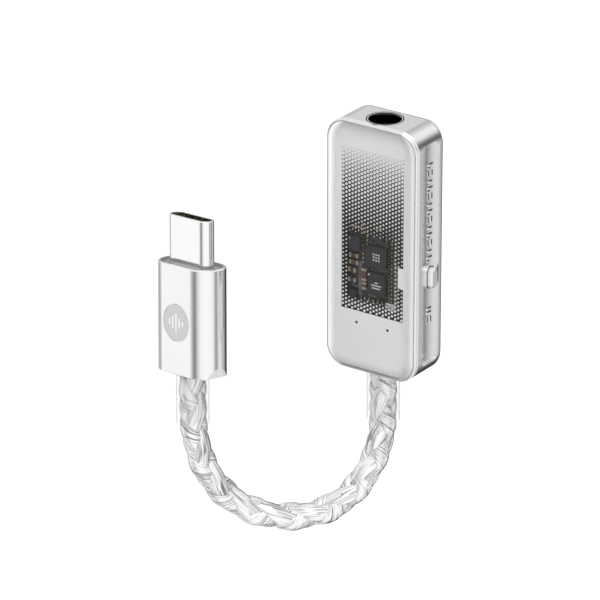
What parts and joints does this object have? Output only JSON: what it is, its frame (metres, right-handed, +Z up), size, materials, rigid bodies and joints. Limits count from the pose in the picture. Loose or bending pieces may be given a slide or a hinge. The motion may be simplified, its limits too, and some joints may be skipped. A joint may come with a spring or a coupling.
{
  "type": "usb-c dongle dac with headphone jack",
  "caption": "Pocket USB-C headphone DAC: aluminium body with see-through dotted window, balanced jack, side button and short braided lead to a USB-C plug.",
  "frame": {"origin": "middle of the headphone jack's mouth, in the plane of the body's top face", "axes": "+Z up out of the jack along the body's length, +Y towards the body's back, +X towards the button side"},
  "size_m": [0.0366, 0.0223, 0.0613],
  "materials": {
    "satin_aluminium": "satin, fine bead-blasted",
    "polished_aluminium": "bright satin",
    "clear_cover": "polished clear",
    "white_print": "pearl white print",
    "adhesive": "matte",
    "board_lacquer": "satin black lacquer",
    "chip_resin": "matte resin",
    "ceramic": "fired ceramic",
    "black_plastic": "moulded satin",
    "dark_chrome": "dark polished",
    "gold": "gold plated",
    "steel": "polished steel",
    "led_lens": "clear epoxy",
    "clear_sleeve": "clear shrink tube",
    "silver_litz": "silver-plated strands in a clear jacket",
    "wire_insulation": "satin",
    "badge_grey": "laser-matted"
  },
  "bodies": {
    "dongle": {"main_housing": "satin_aluminium", "front_cover": "clear_cover", "print_mask": "white_print", "cover_gasket": "adhesive", "circuit_board": "board_lacquer", "dac_chip": "chip_resin", "processor_chip": "chip_resin", "amplifier_chip": "chip_resin", "regulator_chip": "chip_resin", "power_chip": "chip_resin", "oscillator": "steel", "capacitor_1": "ceramic", "capacitor_2": "ceramic", "capacitor_3": "ceramic", "capacitor_4": "ceramic", "capacitor_5": "ceramic", "capacitor_6": "ceramic", "left_led": "led_lens", "right_led": "led_lens", "left_board_screw": "steel", "right_board_screw": "steel", "jack_bush": "dark_chrome", "jack_body": "black_plastic", "switch_base": "black_plastic", "cable_gland": "black_plastic", "core_wire_1": "wire_insulation", "core_wire_2": "wire_insulation", "core_wire_3": "wire_insulation", "core_wire_4": "wire_insulation", "body_end_sleeve": "clear_sleeve", "plug_end_sleeve": "clear_sleeve", "audio_lead": "silver_litz", "plug_shell": "polished_aluminium", "plug_badge": "badge_grey", "usb_tip_shell": "steel", "usb_tip_core": "black_plastic", "front_contact_row": "gold", "back_contact_row": "gold", "left_tip_latch": "steel", "right_tip_latch": "steel", "plug_board": "board_lacquer", "plug_chip": "chip_resin", "plug_gland": "black_plastic"},
    "button": {"side_button": "polished_aluminium", "switch_plunger": "black_plastic"},
    "left_upper_spring": {"left_upper_contact": "gold"},
    "right_upper_spring": {"right_upper_contact": "gold"},
    "left_lower_spring": {"left_lower_contact": "gold"},
    "right_lower_spring": {"right_lower_contact": "gold"}
  },
  "joints": [
    {"name": "button_press", "type": "slide", "parent": "dongle", "child": "button", "axis": [-1, 0, 0], "range_m": [0, 0.0003], "stiffness_N_per_m": 3000, "springref_m": -0.0002},
    {"name": "left_upper_contact_flex", "type": "hinge", "parent": "dongle", "child": "left_upper_spring", "pos_m": [-0.00272, 0, -0.0036], "axis": [0, 1, 0], "range_deg": [0, 5], "stiffness_Nm_per_rad": 0.02},
    {"name": "left_lower_contact_flex", "type": "hinge", "parent": "dongle", "child": "left_lower_spring", "pos_m": [-0.00272, 0, -0.009], "axis": [0, 1, 0], "range_deg": [0, 5], "stiffness_Nm_per_rad": 0.02},
    {"name": "right_upper_contact_flex", "type": "hinge", "parent": "dongle", "child": "right_upper_spring", "pos_m": [0.00272, 0, -0.0036], "axis": [0, -1, 0], "range_deg": [0, 5], "stiffness_Nm_per_rad": 0.02},
    {"name": "right_lower_contact_flex", "type": "hinge", "parent": "dongle", "child": "right_lower_spring", "pos_m": [0.00272, 0, -0.009], "axis": [0, -1, 0], "range_deg": [0, 5], "stiffness_Nm_per_rad": 0.02}
  ]
}
